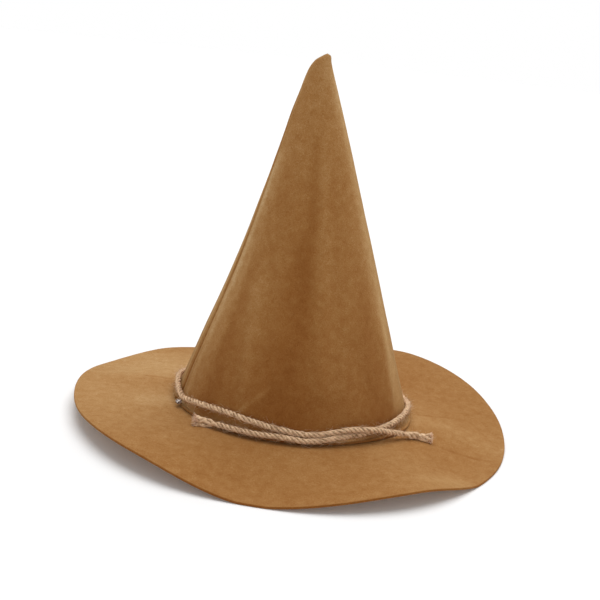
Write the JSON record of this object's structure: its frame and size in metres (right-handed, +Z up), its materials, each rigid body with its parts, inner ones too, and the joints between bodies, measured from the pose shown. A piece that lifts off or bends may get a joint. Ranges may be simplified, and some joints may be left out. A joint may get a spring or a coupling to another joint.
{
  "type": "scarecrow hat",
  "caption": "Pointed brown felt costume hat with a tall hollow seamed crown, a wide wavy brim and a jute rope band with frayed free ends round the foot of the crown.",
  "frame": {"origin": "on the table, under the middle of the round brim", "axes": "+Z up along the crown, -Y to the front where the rope's free ends overlap, +X to the right seen from the front"},
  "size_m": [0.354, 0.354, 0.295],
  "materials": {
    "felt": "matt pressed felt, mottled brown",
    "jute": "hairy twisted jute, pale tan",
    "clear_glue": "clear set hot glue"
  },
  "bodies": {
    "root": {"crown": "felt", "brim": "felt", "rope_band": "jute", "glue_dab": "clear_glue"}
  },
  "joints": []
}
